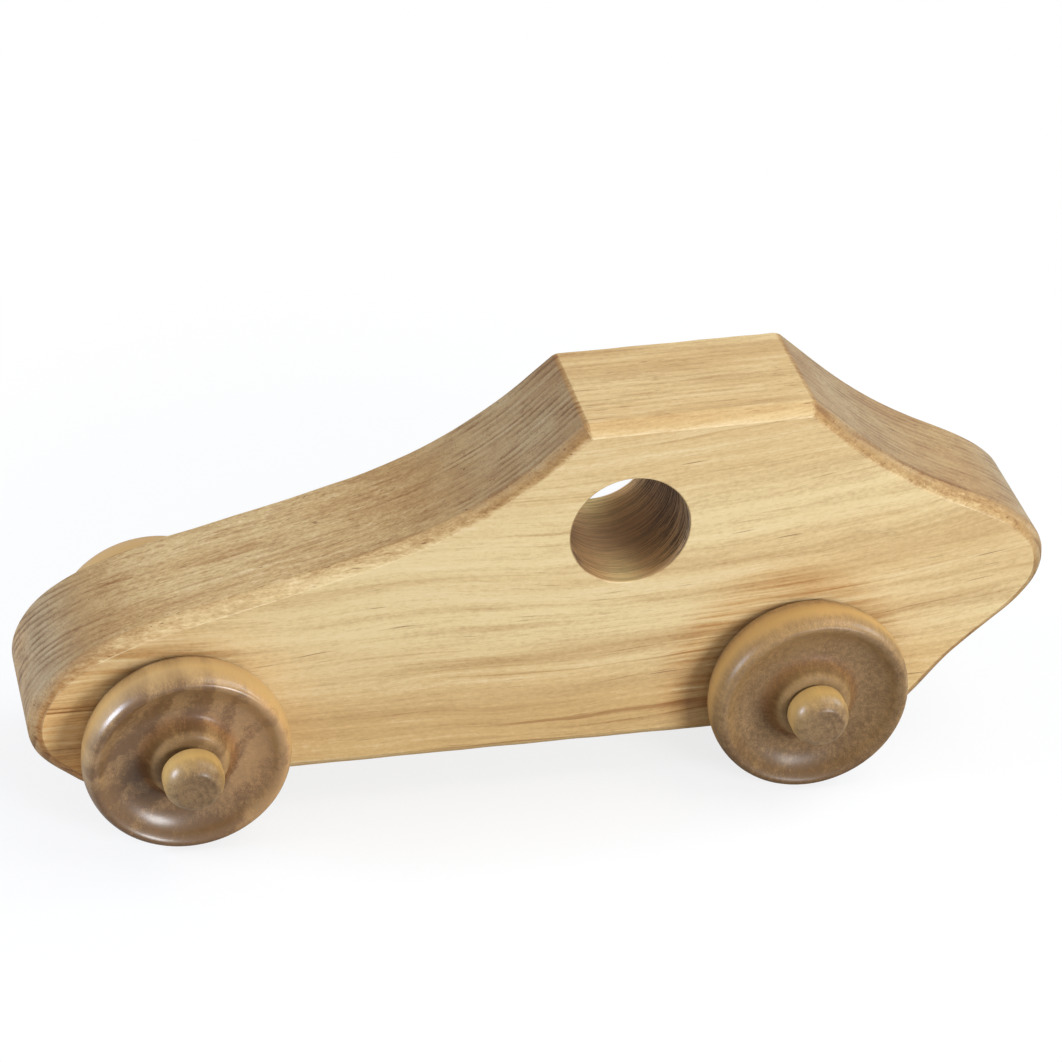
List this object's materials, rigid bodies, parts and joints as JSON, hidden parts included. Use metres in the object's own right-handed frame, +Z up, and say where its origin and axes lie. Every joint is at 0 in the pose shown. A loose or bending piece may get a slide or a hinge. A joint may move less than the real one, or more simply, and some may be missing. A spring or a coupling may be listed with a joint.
{
  "type": "wooden push car",
  "caption": "Sawn wooden toy car with a round window bored through the cabin and turned wheels that roll freely on glued axle pegs.",
  "frame": {"origin": "on the ground in the mid-plane, half way between nose and tail", "axes": "+X towards the nose, +Y to the car's left, +Z up"},
  "size_m": [0.2542, 0.0856, 0.1049],
  "materials": {
    "block_wood": "pale softwood, golden oil finish, satin",
    "wheel_wood": "turned close-grained hardwood, brown stain, glossy clear coat",
    "peg_wood": "turned hardwood, golden brown, satin"
  },
  "bodies": {
    "block_and_pegs": {"body": "block_wood", "axle_peg_front_left": "peg_wood", "axle_peg_front_right": "peg_wood", "axle_peg_rear_left": "peg_wood", "axle_peg_rear_right": "peg_wood"},
    "front_left_wheel": {"wheel_front_left": "wheel_wood"},
    "front_right_wheel": {"wheel_front_right": "wheel_wood"},
    "rear_left_wheel": {"wheel_rear_left": "wheel_wood"},
    "rear_right_wheel": {"wheel_rear_right": "wheel_wood"}
  },
  "joints": [
    {"name": "front_left_roll", "type": "hinge", "parent": "block_and_pegs", "child": "front_left_wheel", "pos_m": [0.0903, 0.02565, 0.0254], "axis": [0, 1, 0], "continuous": true},
    {"name": "front_right_roll", "type": "hinge", "parent": "block_and_pegs", "child": "front_right_wheel", "pos_m": [0.0903, -0.02565, 0.0254], "axis": [0, 1, 0], "continuous": true},
    {"name": "rear_left_roll", "type": "hinge", "parent": "block_and_pegs", "child": "rear_left_wheel", "pos_m": [-0.0653, 0.02565, 0.0254], "axis": [0, 1, 0], "continuous": true},
    {"name": "rear_right_roll", "type": "hinge", "parent": "block_and_pegs", "child": "rear_right_wheel", "pos_m": [-0.0653, -0.02565, 0.0254], "axis": [0, 1, 0], "continuous": true}
  ]
}
